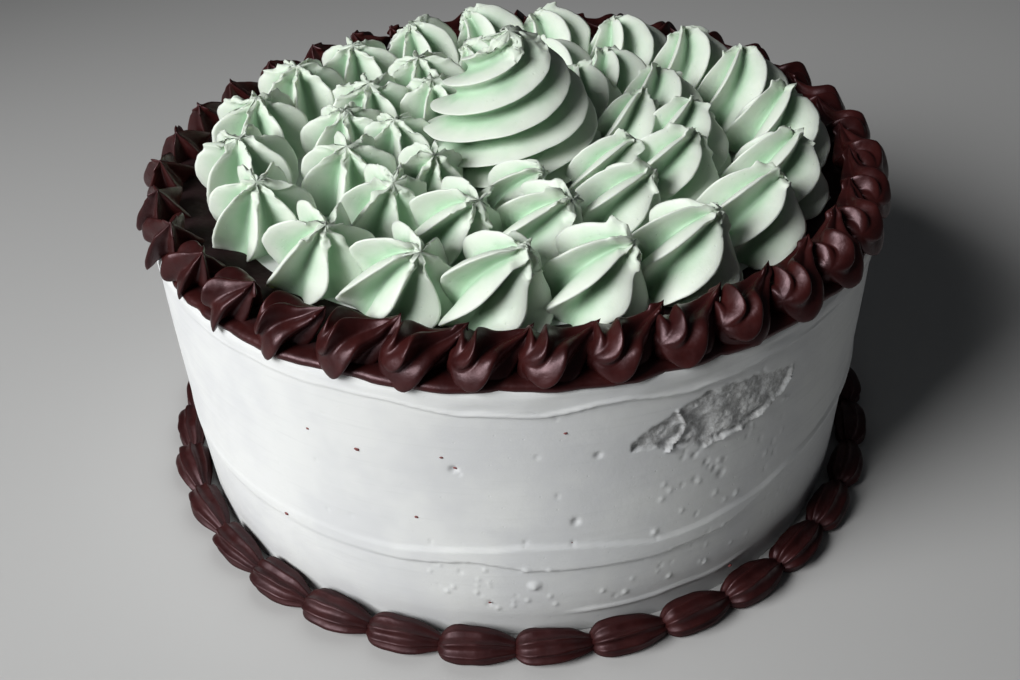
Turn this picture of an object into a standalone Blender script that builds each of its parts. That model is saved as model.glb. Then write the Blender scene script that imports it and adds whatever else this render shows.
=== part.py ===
"""Round layer cake, 222 mm across the frosting and 92 mm high, uncut.

A smooth white frosted body carries a field of mint buttercream dollops in three rings round a
taller swirl. A glossy chocolate border of small piped shells runs round the top edge, and a
second one round the foot. +Z is up and the origin is the middle of the underside.
"""
import math
import random

import bmesh
import bpy

MM = 0.001

# Driving dimensions
CAKE_RADIUS = 111.0 * MM
CAKE_HEIGHT = 91.5 * MM
GAP = 0.3 * MM

# White body: a lip under the rim and one long spatula ledge low on the side
BODY_SIDES = 60
WALL_WOBBLE = 0.25 * MM
FOOT_TUCK = 0.6 * MM
FOOT_CLEAR_HEIGHT = 13.0 * MM
LEDGE_HEIGHT = 29.0 * MM
LEDGE_RISE = 11.0 * MM
LEDGE_RISE_SPAN = (-62.0, -40.0)
LEDGE_FALL_SPAN = (60.0, 150.0)
LEDGE_RECESS = 0.3 * MM
LEDGE_STEP = 0.6 * MM
LEDGE_EDGE = 0.8 * MM
MIDDLE_HEIGHT = 62.0 * MM
LIP_FOOT_HEIGHT = 83.5 * MM
LIP_FOOT_RECESS = 0.3 * MM
LIP_HEIGHT = 85.5 * MM
LIP_OUT = 0.9 * MM
LIP_WAVE = 0.4
EDGE_HEIGHT = 91.0 * MM
EDGE_IN = 0.4 * MM
EDGE_ROUND = 2.0 * MM

# Mint dollops: rings of (name, how many, base radius, azimuth of the first in degrees, size)
MINT_RINGS = (
    ("outer", 19, 78.6 * MM, -94.8, 15.8 * MM),
    ("middle", 14, 51.8 * MM, -108.5, 15.4 * MM),
    ("inner", 8, 35.8 * MM, -136.0, 12.6 * MM),
)
MINT_BLADES = 7
MINT_AXIS_STRAIGHT = 20.0 * MM
MINT_AXIS_DRAGGED = 24.0 * MM
MINT_TILT_LEAST = 6.0
MINT_TILT_MOST = 54.0
MINT_TURN_LEAST = 6.0
MINT_TURN_MOST = 66.0
MINT_PULL_OUTWARD = 0.42
MINT_SEED = 11

# Levels of a dollop: share of its bent axis, then the reach of blade tips and of grooves as
# shares of its size, each for a plain star and for a dollop that is pulled on
DOLLOP_LEVELS = (
    (0.00, (0.78, 0.80), (0.60, 0.62)),
    (0.24, (1.02, 1.02), (0.52, 0.56)),
    (0.50, (1.00, 0.92), (0.42, 0.46)),
    (0.75, (0.88, 0.65), (0.30, 0.30)),
    (0.92, (0.50, 0.34), (0.17, 0.15)),
)

# A dollop's ground is measured from its axis at this level, and it stays inside by this much
SITE_LEVEL = 0.35
GROUND_EDGE = 0.18 * MM

# Centre swirl: turned ridges that climb to a blunt torn tip, (share of height, share of radius)
SWIRL_RADIUS = 27.0 * MM
SWIRL_HEIGHT = 45.0 * MM
SWIRL_RIDGES = 5
SWIRL_TURNS = 1.3
SWIRL_TURN_POWER = 0.9
SWIRL_GROOVE = 0.26
SWIRL_LEVELS = 13
SWIRL_STEPS_PER_RIDGE = 4
SWIRL_LINE = 27.4 * MM
SWIRL_PROFILE = (
    (0.00, 0.84),
    (0.12, 0.98),
    (0.38, 1.00),
    (0.56, 0.89),
    (0.70, 0.73),
    (0.82, 0.57),
    (0.92, 0.41),
    (1.00, 0.25),
)

# Line that parts the mint from the top border: nearer at the front and back than at the sides
EDGE_LINE = 93.6 * MM
EDGE_LINE_SIDE_EXTRA = 3.4 * MM

# Top border: a thin band and the shells piped on it. The band's cross-section has corners as
# (share of the way out, share of its height)
BAND_HEIGHT = 1.8 * MM
BAND_OUTER = 111.2 * MM
BAND_RIPPLE = 0.5 * MM
BAND_RIPPLES = 17
BAND_STATIONS = 48
BAND_SECTION = ((0.0, 0.0), (0.0, 0.7), (0.5, 1.0), (1.0, 0.6), (0.98, 0.0))
FRONT_SHELLS = 7
FRONT_SHELL_FIRST = -114.2
FRONT_SHELL_PITCH = 9.07
OTHER_SHELLS = 28
TOP_SHELL_RADIUS = 104.8 * MM
TOP_SHELL_SIDE_EXTRA = 2.0 * MM
TOP_SHELL_PULL_INWARD = 0.42
TOP_SHELL_TAIL_EXTRA = 3.0 * MM
TOP_SHELL_HEAD = 0.28
TOP_SHELL_FLOOR = 0.2 * MM
TOP_SHELL_TIPPED = 4.0
TOP_SHELL_BLADES = 5
TOP_SHELL_SEED = 23

# Each pair is for a leaning star, as at the left, and for a round head with a long tail: reach,
# height of the head's middle, length, slope of the axis at both ends in degrees and its twist
TOP_SHELL_SIZE = (8.8 * MM, 8.6 * MM)
TOP_SHELL_LIFT = (2.6 * MM, 4.6 * MM)
TOP_SHELL_LENGTH = (15.0 * MM, 22.5 * MM)
TOP_SHELL_RISE_START = (58.0, -22.0)
TOP_SHELL_RISE_END = (62.0, 52.0)
TOP_SHELL_TWIST = (15.0, 50.0)

# Levels of a shell, in the same way as those of a dollop
TOP_SHELL_LEVELS = (
    (0.05, (0.74, 0.58), (0.40, 0.48)),
    (0.28, (1.04, 1.00), (0.50, 0.74)),
    (0.60, (0.80, 0.60), (0.36, 0.42)),
)

# Bottom border: one ring of shells with narrow tails. A shell swells and narrows through these
# shares of its full section, whose corners are (share of the width, share of the height)
FOOT_SHELLS = 34
FOOT_FIRST = -86.7
FOOT_INNER = 111.2 * MM
FOOT_WIDTH = 11.0 * MM
FOOT_HEIGHT = 9.0 * MM
FOOT_SWELL = (0.46, 0.98, 0.98, 0.78)
FOOT_LEAST_WIDTH = 0.30
FOOT_LEAST_HEIGHT = 0.15
FOOT_SECTION = (
    (0.04, 0.0),
    (0.0, 0.55),
    (0.22, 0.98),
    (0.40, 0.86),
    (0.60, 0.92),
    (0.78, 0.62),
    (1.0, 0.42),
    (0.90, 0.0),
)
FOOT_SEED = 5

FROSTING_COLOUR = (0.80, 0.81, 0.80)
MINT_COLOUR = (0.60, 0.79, 0.63)
CHOCOLATE_COLOUR = (0.055, 0.017, 0.015)


def clear_scene():
    for thing in list(bpy.data.objects):
        bpy.data.objects.remove(thing, do_unlink=True)


def material(name, colour, roughness):
    made = bpy.data.materials.new(name)
    made.use_nodes = True
    shader = made.node_tree.nodes["Principled BSDF"]
    shader.inputs["Base Color"].default_value = (*colour, 1.0)
    shader.inputs["Roughness"].default_value = roughness
    shader.inputs["Metallic"].default_value = 0.0
    return made


def smoothstep(low, high, value):
    share = min(max((value - low) / (high - low), 0.0), 1.0)
    return share * share * (3.0 - 2.0 * share)


def mix(a, b, share):
    return a + (b - a) * share


def turned(azimuth):
    """Unit vectors outwards and anticlockwise at an azimuth in radians."""
    out = (math.cos(azimuth), math.sin(azimuth))
    along = (-math.sin(azimuth), math.cos(azimuth))
    return out, along


def wrap_degrees(azimuth):
    return (azimuth + 180.0) % 360.0 - 180.0


def piping_shares(azimuth):
    """Shares of drag and of turn at an azimuth in degrees: plain stars at the back left, then
    dollops pulled anticlockwise, which are turned more and more towards the right."""
    degrees = wrap_degrees(azimuth)
    if degrees >= 95.0:
        fade = 1.0 - smoothstep(95.0, 130.0, degrees)
        return fade, fade
    return smoothstep(-175.0, -105.0, degrees), smoothstep(-175.0, 0.0, degrees)


def edge_line(azimuth):
    """Radius of the line between the mint and the top border."""
    return EDGE_LINE + EDGE_LINE_SIDE_EXTRA * math.cos(azimuth) ** 2


def solid_from(name, points, faces, look, smooth_angle=35.0):
    mesh = bpy.data.meshes.new(name)
    mesh.from_pydata(points, [], faces)
    work = bmesh.new()
    work.from_mesh(mesh)
    bmesh.ops.triangulate(work, faces=work.faces, quad_method="SHORT_EDGE")
    bmesh.ops.recalc_face_normals(work, faces=work.faces)
    work.to_mesh(mesh)
    work.free()
    mesh.shade_smooth()
    mesh.set_sharp_from_angle(angle=math.radians(smooth_angle))
    thing = bpy.data.objects.new(name, mesh)
    bpy.context.scene.collection.objects.link(thing)
    mesh.materials.append(look)
    return thing


def stacked_solid(name, rings, tip, look, smooth_angle=35.0):
    """Closed solid through rings of equal length, with a flat underside and one tip point."""
    count = len(rings[0])
    points = [point for ring in rings for point in ring]
    faces = [tuple(reversed(range(count)))]
    for level in range(len(rings) - 1):
        low = level * count
        high = low + count
        for step in range(count):
            after = (step + 1) % count
            faces.append((low + step, low + after, high + after, high + step))
    top = (len(rings) - 1) * count
    points.append(tip)
    for step in range(count):
        faces.append((top + step, top + (step + 1) % count, len(points) - 1))
    return solid_from(name, points, faces, look, smooth_angle)


class BentAxis:
    """Axis of one piped dollop: it starts upright and bends over evenly towards its pull."""

    def __init__(self, base, floor, pull, length, tilt):
        distance = math.hypot(*pull)
        self.base = base
        self.floor = floor
        self.forward = (pull[0] / distance, pull[1] / distance)
        self.heading = math.atan2(pull[1], pull[0])
        self.length = length
        self.tilt = tilt

    def place(self, level, radius=0.0, angle=0.0):
        """Point at a share of the axis, a radius away from it, in a direction seen from above."""
        tilt = self.tilt * level
        arc = self.length / self.tilt
        ahead = arc * (1.0 - math.cos(tilt)) + radius * math.cos(angle - self.heading) * math.cos(tilt)
        aside = radius * math.sin(angle - self.heading)
        height = arc * math.sin(tilt) - radius * math.cos(angle - self.heading) * math.sin(tilt)
        x = self.base[0] + self.forward[0] * ahead - self.forward[1] * aside
        y = self.base[1] + self.forward[1] * ahead + self.forward[0] * aside
        return x, y, self.floor + height


class Cell:
    """Ground that one dollop may cover: nearer to its own base than to any neighbour's."""

    def __init__(self, base, neighbours, outer_line):
        self.base = base
        self.planes = []
        self.outer_line = outer_line
        for place, own_share in neighbours:
            dx = place[0] - base[0]
            dy = place[1] - base[1]
            distance = math.hypot(dx, dy)
            self.planes.append((dx / distance, dy / distance, own_share * distance - GROUND_EDGE))

    def room(self, direction):
        """How far a point may go from the base along a unit direction."""
        reach = CAKE_RADIUS
        for nx, ny, distance in self.planes:
            towards = nx * direction[0] + ny * direction[1]
            if towards > 1e-6:
                reach = min(reach, distance / towards)
        bx, by = self.base
        along = bx * direction[0] + by * direction[1]
        limit = self.outer_line - GAP
        inside = along * along - (bx * bx + by * by - limit * limit)
        if inside > 0.0:
            reach = min(reach, -along + math.sqrt(inside))
        return reach

    def clamp(self, x, y, z):
        """Point moved level into the cell."""
        dx = x - self.base[0]
        dy = y - self.base[1]
        distance = math.hypot(dx, dy)
        if distance < 1e-9:
            return x, y, z
        share = min(1.0, self.room((dx / distance, dy / distance)) / distance)
        return self.base[0] + dx * share, self.base[1] + dy * share, z


class Dollop:
    """Place, size and sweep of one mint dollop, drawn once for all that depends on them."""

    def __init__(self, ring, number, azimuth, distance, size, draws):
        self.ring = ring
        self.name = f"mint_{ring}_{number + 1:02d}"
        self.azimuth = azimuth
        drag, turn = piping_shares(math.degrees(azimuth))
        self.drag = drag
        out, along = turned(azimuth)
        outward = MINT_PULL_OUTWARD * drag
        pull = (along[0] + out[0] * outward, along[1] + out[1] * outward)
        length = mix(MINT_AXIS_STRAIGHT, MINT_AXIS_DRAGGED, drag) * draws.uniform(0.94, 1.04)
        tilt = math.radians(mix(MINT_TILT_LEAST, MINT_TILT_MOST, drag) * draws.uniform(0.92, 1.06))
        self.turn = math.radians(mix(MINT_TURN_LEAST, MINT_TURN_MOST, turn))
        self.size = size * draws.uniform(0.96, 1.04)
        self.start = draws.uniform(0.0, math.tau)
        base = (distance * out[0], distance * out[1])
        self.axis = BentAxis(base, CAKE_HEIGHT + GAP, pull, length, tilt)
        self.site = self.axis.place(SITE_LEVEL)[:2]


def mint_dollops():
    draws = random.Random(MINT_SEED)
    dollops = []
    for ring, count, radius, first, size in MINT_RINGS:
        for number in range(count):
            azimuth = math.radians(first + 360.0 * number / count + draws.uniform(-1.4, 1.4))
            distance = radius + draws.uniform(-0.8, 0.8) * MM
            if ring == "outer":
                distance += edge_line(azimuth) - EDGE_LINE
            dollops.append(Dollop(ring, number, azimuth, distance, size, draws))
    return dollops


def star_rings(axis, size, drag, start, turn, blades, levels, keep):
    """Rings of a star up its axis: blade tips and grooves in turn, each point kept in bounds."""
    rings = []
    for level, tips, grooves in levels:
        points = []
        for step in range(blades * 2):
            share = mix(*(tips if step % 2 == 0 else grooves), drag)
            angle = start + math.tau * step / (blades * 2) + turn * level
            points.append(keep(*axis.place(level, size * share, angle)))
        rings.append(points)
    return rings


def mint_dollop(own, dollops, look):
    """Star dollop: sharp blades round a pinched tip, bent and turned by its place in the ring."""
    neighbours = []
    for other in dollops:
        apart = math.hypot(other.site[0] - own.site[0], other.site[1] - own.site[1])
        if other is not own and apart < 3.0 * own.size:
            neighbours.append((other.site, 0.5))
    if own.ring == "inner":
        distance = math.hypot(*own.site)
        neighbours.append(((0.0, 0.0), (distance - SWIRL_LINE) / distance))
    cell = Cell(own.site, neighbours, edge_line(own.azimuth))
    rings = star_rings(
        own.axis, own.size, own.drag, own.start, own.turn, MINT_BLADES, DOLLOP_LEVELS, cell.clamp
    )
    return stacked_solid(own.name, rings, own.axis.place(1.0), look, 25.0)


def swirl_envelope(level):
    """Outer radius of the centre swirl as a share: wide low down, narrowing to the tip."""
    for (low, low_share), (high, high_share) in zip(SWIRL_PROFILE, SWIRL_PROFILE[1:]):
        if level <= high:
            return mix(low_share, high_share, (level - low) / (high - low))
    return SWIRL_PROFILE[-1][1]


def centre_swirl(look):
    rings = []
    floor = CAKE_HEIGHT + GAP
    count = SWIRL_RIDGES * SWIRL_STEPS_PER_RIDGE
    for row in range(SWIRL_LEVELS):
        level = row / SWIRL_LEVELS
        reach = SWIRL_RADIUS * swirl_envelope(level)
        turn = math.tau * SWIRL_TURNS * level ** SWIRL_TURN_POWER
        points = []
        for step in range(count):
            phase = (step % SWIRL_STEPS_PER_RIDGE) / SWIRL_STEPS_PER_RIDGE
            fall = math.sin(math.pi * phase)
            radius = min(reach * (1.0 - SWIRL_GROOVE * fall), SWIRL_LINE - GAP)
            angle = math.tau * step / count + turn
            height = floor + SWIRL_HEIGHT * level
            points.append((radius * math.cos(angle), radius * math.sin(angle), height))
        rings.append(points)
    return stacked_solid("centre_swirl", rings, (0.0, 0.0, floor + SWIRL_HEIGHT), look, 25.0)


def ledge_height(azimuth):
    """Height of the long spatula ledge: level at the front left, climbing to the right."""
    degrees = wrap_degrees(math.degrees(azimuth))
    rise = smoothstep(*LEDGE_RISE_SPAN, degrees) * (1.0 - smoothstep(*LEDGE_FALL_SPAN, degrees))
    return LEDGE_HEIGHT + LEDGE_RISE * rise


def wall_profile(azimuth):
    """Radius and height of the body's corners at an azimuth, from its foot up to its flat top."""
    wall = CAKE_RADIUS + WALL_WOBBLE * math.sin(2.0 * azimuth + 0.7)
    lip = LIP_OUT * (1.0 - LIP_WAVE + LIP_WAVE * math.sin(3.0 * azimuth + 1.0))
    ledge = ledge_height(azimuth)
    return (
        (CAKE_RADIUS - FOOT_TUCK, 0.0),
        (CAKE_RADIUS - FOOT_TUCK, FOOT_CLEAR_HEIGHT),
        (wall - LEDGE_RECESS, ledge),
        (wall + LEDGE_STEP, ledge + LEDGE_EDGE),
        (wall, MIDDLE_HEIGHT),
        (wall - LIP_FOOT_RECESS, LIP_FOOT_HEIGHT),
        (CAKE_RADIUS + lip, LIP_HEIGHT),
        (CAKE_RADIUS - EDGE_IN, EDGE_HEIGHT),
        (CAKE_RADIUS - EDGE_ROUND, CAKE_HEIGHT),
    )


def cake_body(look):
    """White body: turned wall with its ledge, its lip and a rounded rim."""
    columns = []
    for side in range(BODY_SIDES):
        azimuth = math.tau * side / BODY_SIDES
        across = math.cos(azimuth)
        deep = math.sin(azimuth)
        corners = wall_profile(azimuth)
        columns.append([(radius * across, radius * deep, height) for radius, height in corners])
    rings = [list(ring) for ring in zip(*columns)]
    return stacked_solid("cake", rings, (0.0, 0.0, CAKE_HEIGHT), look)


def ring_faces(stations, corners):
    """Faces of a closed ring of closed cross-sections."""
    faces = []
    for station in range(stations):
        here = station * corners
        beyond = (station + 1) % stations * corners
        for corner in range(corners):
            after = (corner + 1) % corners
            faces.append((here + corner, beyond + corner, beyond + after, here + after))
    return faces


def top_band(look):
    """Thin chocolate band under the top shells, with a rippled outer edge."""
    points = []
    low = CAKE_HEIGHT + GAP
    for station in range(BAND_STATIONS):
        azimuth = math.tau * station / BAND_STATIONS
        inner = edge_line(azimuth) + GAP
        outer = BAND_OUTER + BAND_RIPPLE * math.sin(BAND_RIPPLES * azimuth)
        for share, up in BAND_SECTION:
            radius = mix(inner, outer, share)
            height = low + BAND_HEIGHT * up
            points.append((radius * math.cos(azimuth), radius * math.sin(azimuth), height))
    faces = ring_faces(BAND_STATIONS, len(BAND_SECTION))
    return solid_from("top_border", points, faces, look, 30.0)


class ShellAxis:
    """Axis of one small shell, from the low end of its head up to its tip, bent upwards evenly."""

    def __init__(self, middle, pull, rises, length):
        distance = math.hypot(*pull)
        self.ahead = (pull[0] / distance, pull[1] / distance)
        self.rises = rises
        self.length = length
        self.start = (0.0, 0.0, 0.0)
        reached = self.place(TOP_SHELL_HEAD)
        self.start = tuple(wanted - passed for wanted, passed in zip(middle, reached))

    def place(self, level, radius=0.0, angle=0.0):
        """Point at a share of the axis, a radius away from it, at an angle round it."""
        first, last = self.rises
        rise = mix(first, last, level)
        arc = self.length / (last - first)
        aside = radius * math.cos(angle)
        above = radius * math.sin(angle)
        onward = arc * (math.sin(rise) - math.sin(first)) - above * math.sin(rise)
        height = arc * (math.cos(first) - math.cos(rise)) + above * math.cos(rise)
        x = self.start[0] + onward * self.ahead[0] - aside * self.ahead[1]
        y = self.start[1] + onward * self.ahead[1] + aside * self.ahead[0]
        return x, y, self.start[2] + height


def top_shell_azimuths():
    """Azimuths in degrees: the front shells are closer together than the others."""
    front = [FRONT_SHELL_FIRST + FRONT_SHELL_PITCH * number for number in range(FRONT_SHELLS)]
    span = 360.0 - (front[-1] - front[0])
    pitch = span / (OTHER_SHELLS + 1)
    rest = [front[-1] + pitch * (number + 1) for number in range(OTHER_SHELLS)]
    return front + rest


def keep_on_band(x, y, z):
    """Point moved straight out of the mint's ground and up out of the cake."""
    distance = math.hypot(x, y)
    share = max(distance, edge_line(math.atan2(y, x)) + GAP) / distance
    return x * share, y * share, max(z, CAKE_HEIGHT + GAP + TOP_SHELL_FLOOR)


def top_shell(degrees, look, draws):
    """Small piped shell: a leaning star at the left, a round head with a long tail elsewhere."""
    azimuth = math.radians(degrees)
    drag, turn = piping_shares(degrees)
    out, along = turned(azimuth)
    inward = TOP_SHELL_PULL_INWARD * drag
    pull = (along[0] - out[0] * inward, along[1] - out[1] * inward)
    length = mix(*TOP_SHELL_LENGTH, drag) + TOP_SHELL_TAIL_EXTRA * drag * turn
    length = length * draws.uniform(0.94, 1.05)
    tipped = draws.uniform(-TOP_SHELL_TIPPED, TOP_SHELL_TIPPED)
    slopes = (mix(*TOP_SHELL_RISE_START, drag), mix(*TOP_SHELL_RISE_END, drag))
    rises = [math.radians(slope + tipped) for slope in slopes]
    twist = math.radians(mix(*TOP_SHELL_TWIST, drag))
    size = mix(*TOP_SHELL_SIZE, drag) * draws.uniform(0.95, 1.04)
    start = draws.uniform(0.0, math.tau)
    distance = TOP_SHELL_RADIUS + TOP_SHELL_SIDE_EXTRA * math.cos(azimuth) ** 2
    middle = (distance * out[0], distance * out[1], CAKE_HEIGHT + mix(*TOP_SHELL_LIFT, drag))
    axis = ShellAxis(middle, pull, rises, length)
    rings = star_rings(axis, size, drag, start, -twist, TOP_SHELL_BLADES, TOP_SHELL_LEVELS, keep_on_band)
    return stacked_solid("top_shell", rings, keep_on_band(*axis.place(1.0)), look, 30.0)


def top_border(look):
    band = top_band(look)
    draws = random.Random(TOP_SHELL_SEED)
    shells = bpy.data.collections.new("top_shells")
    bpy.context.scene.collection.children.link(shells)
    for azimuth in top_shell_azimuths():
        shell = top_shell(azimuth, look, draws)
        bpy.context.scene.collection.objects.unlink(shell)
        shells.objects.link(shell)
    union = band.modifiers.new("shells", "BOOLEAN")
    union.operation = "UNION"
    union.operand_type = "COLLECTION"
    union.collection = shells
    union.solver = "MANIFOLD"
    apply_modifiers(band)
    for shell in list(shells.objects):
        bpy.data.objects.remove(shell, do_unlink=True)
    bpy.data.collections.remove(shells)
    return band


def apply_modifiers(thing):
    """Replaces an object's mesh by its evaluated one and drops its modifiers."""
    graph = bpy.context.evaluated_depsgraph_get()
    made = bpy.data.meshes.new_from_object(thing.evaluated_get(graph))
    thing.modifiers.clear()
    old = thing.data
    thing.data = made
    made.name = thing.name
    bpy.data.meshes.remove(old)


def bottom_border(look):
    """Ring of shells that lie along the foot: each swells, then narrows to its tail."""
    draws = random.Random(FOOT_SEED)
    pitch = math.tau / FOOT_SHELLS
    points = []
    for shell in range(FOOT_SHELLS):
        start = math.radians(FOOT_FIRST) + pitch * (shell - 0.5)
        size = draws.uniform(0.95, 1.05)
        for station, share in enumerate(FOOT_SWELL):
            swell = size * share
            azimuth = start + pitch * station / len(FOOT_SWELL)
            width = FOOT_WIDTH * mix(FOOT_LEAST_WIDTH, 1.0, swell)
            height = FOOT_HEIGHT * mix(FOOT_LEAST_HEIGHT, 1.0, swell)
            for across, up in FOOT_SECTION:
                radius = FOOT_INNER + width * across
                points.append((radius * math.cos(azimuth), radius * math.sin(azimuth), height * up))
    faces = ring_faces(FOOT_SHELLS * len(FOOT_SWELL), len(FOOT_SECTION))
    return solid_from("bottom_border", points, faces, look, 30.0)


def build():
    clear_scene()
    frosting = material("white_frosting", FROSTING_COLOUR, 0.55)
    mint = material("mint_buttercream", MINT_COLOUR, 0.5)
    chocolate = material("chocolate_icing", CHOCOLATE_COLOUR, 0.3)
    cake_body(frosting)
    centre_swirl(mint)
    dollops = mint_dollops()
    for dollop in dollops:
        mint_dollop(dollop, dollops, mint)
    top_border(chocolate)
    bottom_border(chocolate)


build()
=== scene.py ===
"""Looks of a round layer cake: smooth white frosting, piped mint dollops and chocolate borders.

Every CAD solid is replaced by a finer mesh of the same form in the same place. Lengths are in
metres, azimuths in degrees anticlockwise from +X, and the front of the cake looks towards -Y.
"""
import math
import random

import bpy
import numpy as np
from mathutils import Matrix, Vector


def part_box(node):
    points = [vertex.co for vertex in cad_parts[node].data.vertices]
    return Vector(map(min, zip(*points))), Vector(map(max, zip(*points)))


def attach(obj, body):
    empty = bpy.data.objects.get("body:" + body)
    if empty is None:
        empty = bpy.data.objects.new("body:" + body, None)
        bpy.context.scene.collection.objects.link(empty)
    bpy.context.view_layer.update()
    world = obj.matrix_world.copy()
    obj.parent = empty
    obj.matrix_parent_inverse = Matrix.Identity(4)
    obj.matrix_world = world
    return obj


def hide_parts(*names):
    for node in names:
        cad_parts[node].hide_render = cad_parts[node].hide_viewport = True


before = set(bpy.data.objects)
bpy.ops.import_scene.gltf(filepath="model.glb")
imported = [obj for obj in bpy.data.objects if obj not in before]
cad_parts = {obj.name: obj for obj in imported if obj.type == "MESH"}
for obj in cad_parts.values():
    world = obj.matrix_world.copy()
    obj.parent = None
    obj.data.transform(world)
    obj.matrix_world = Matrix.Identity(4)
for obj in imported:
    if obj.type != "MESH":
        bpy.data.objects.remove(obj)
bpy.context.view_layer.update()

MM = 0.001
TAU = math.tau

# Driving dimensions, the same as the solids have
CAKE_RADIUS = 111.0 * MM
CAKE_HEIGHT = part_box("cake")[1].z
PER_DEGREE = math.radians(1.0) * CAKE_RADIUS / MM  # Millimetres along the wall for one degree
GAP = 0.3 * MM
MINT_FLOOR = CAKE_HEIGHT - GAP
EDGE_LINE = 93.6 * MM
EDGE_LINE_SIDE_EXTRA = 3.4 * MM

# Mint dollops: rings of (name, how many, base radius, azimuth of the first, size)
MINT_RINGS = (
    ("outer", 19, 78.6 * MM, -94.8, 15.8 * MM),
    ("middle", 14, 51.8 * MM, -108.5, 15.4 * MM),
    ("inner", 8, 35.8 * MM, -136.0, 12.6 * MM),
)
MINT_AXIS_STRAIGHT = 20.0 * MM
MINT_AXIS_DRAGGED = 24.0 * MM
MINT_TILT = (6.0, 54.0)
MINT_TURN = (6.0, 66.0)
MINT_PULL_OUTWARD = 0.42
MINT_SEED = 11
MINT_PRESS = 1.6 * MM
MINT_SITE_LEVEL = 0.35
MINT_NEIGHBOUR_REACH = 3.0
MINT_FIRST_DRAW = 1000
MINT_WAVES = ((5.0 * MM, 0.35 * MM), (1.3 * MM, 0.12 * MM))  # Spacing and depth of waves on crests
MINT_TORN_FROM = 0.80
TEAR_COARSE = (2.4 * MM, 1.5 * MM)  # Spacing and depth
TEAR_FINE = (0.9 * MM, 0.675 * MM)

# Centre swirl
SWIRL_RADIUS = 27.0 * MM
SWIRL_HEIGHT = 45.0 * MM
SWIRL_RIDGES = 5
SWIRL_TURNS = 1.3
SWIRL_LINE = 27.4 * MM
SWIRL_GROOVE = 0.30
SWIRL_GROOVE_TOP = 0.70
SWIRL_DROOP = 1.4 * MM
SWIRL_SAMPLES = 26
SWIRL_LEVELS = 150
SWIRL_ROUNDNESS = 0.16
SWIRL_FLANKS = (0.75, 1.25)
SWIRL_OVERHANG = 0.16
SWIRL_WAVES = ((8.0 * MM, 0.7 * MM), (2.0 * MM, 0.15 * MM))
SWIRL_TORN_FROM = 0.84
SWIRL_PROFILE = (
    (0.0, 0.84), (0.12, 0.98), (0.38, 1.0), (0.56, 0.89), (0.70, 0.73), (0.82, 0.57), (0.92, 0.41),
    (1.0, 0.25),
)

# Top border
BAND_HEIGHT = 1.8 * MM
BAND_OUTER = 111.2 * MM
BAND_LAP = 0.3 * MM
BAND_SINK = 0.4 * MM
BAND_INWARD = 8.0 * MM
BAND_STATIONS = 360
BAND_DULL_AND_PAINTED_SHADE = (7.0 * MM, 3.0 * MM)  # Inside the outer edge: fully dull and fully darkened with painted shade, and neither any more
# Cross-section from its inner to its outer edge: share across, share of the height
BAND_SECTION = (
    (0.0, 0.0), (0.0, 0.2), (0.20, 0.35), (0.33, 0.75), (0.45, 1.0), (0.70, 1.0), (0.87, 0.96),
    (0.94, 0.86), (0.975, 0.68), (0.994, 0.44), (1.0, 0.16), (0.995, -0.10), (0.98, -0.22),
    (0.95, -0.12), (0.90, 0.0),
)
FRONT_SHELLS = 7
FRONT_SHELL_FIRST = -114.2
FRONT_SHELL_PITCH = 9.07
OTHER_SHELLS = 28
TOP_SHELL_RADIUS = 104.8 * MM
TOP_SHELL_SIDE_EXTRA = 2.0 * MM
TOP_SHELL_SIZE = (8.8 * MM, 8.6 * MM)
TOP_SHELL_LIFT = (2.6 * MM, 4.6 * MM)
TOP_SHELL_LENGTH = (15.0 * MM, 22.5 * MM)
TOP_SHELL_TAIL_EXTRA = 3.0 * MM
TOP_SHELL_RISE_START = (58.0, -22.0)
TOP_SHELL_RISE_END = (62.0, 52.0)
TOP_SHELL_TWIST = (15.0, 100.0)
TOP_SHELL_PULL_INWARD = 0.42
TOP_SHELL_HEAD = 0.28
TOP_SHELL_FLOOR = 0.2 * MM
TOP_SHELL_CLEAR = 1.5 * MM
TOP_SHELL_SAG = 0.7
TOP_SHELL_WAVE = (3.2 * MM, 0.22 * MM)
TOP_SHELL_SEED = 23
TOP_SHELL_FIRST_DRAW = 2000

# Bottom border
FOOT_SHELLS = 34
FOOT_FIRST = -86.7
FOOT_INNER = 111.0 * MM
FOOT_WIDTH = 11.0 * MM
FOOT_HEIGHT = 9.0 * MM
FOOT_SEED = 5
FOOT_FIRST_DRAW = 3000
FOOT_RIDGES = 8
FOOT_ROWS = 30
FOOT_SAMPLES = 9
FOOT_GROOVE = (0.22, 0.34)
FOOT_TWIST = 0.25
# Share of dullness and of painted shade on the foot shells
FOOT_DULL_AND_PAINTED_SHADE = 0.2
FOOT_WAVE = (4.0 * MM, 0.25 * MM)
FOOT_SUNK = 1.2 * MM
# Share of the way along a shell, from head to tail, and how thick it is there
FOOT_SWELL = (
    (-0.53, 0.05), (-0.51, 0.36), (-0.47, 0.62), (-0.40, 0.85), (-0.28, 0.98), (-0.10, 1.0),
    (0.08, 0.97), (0.22, 0.86), (0.34, 0.70), (0.44, 0.52), (0.53, 0.32), (0.62, 0.05),
)

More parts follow.
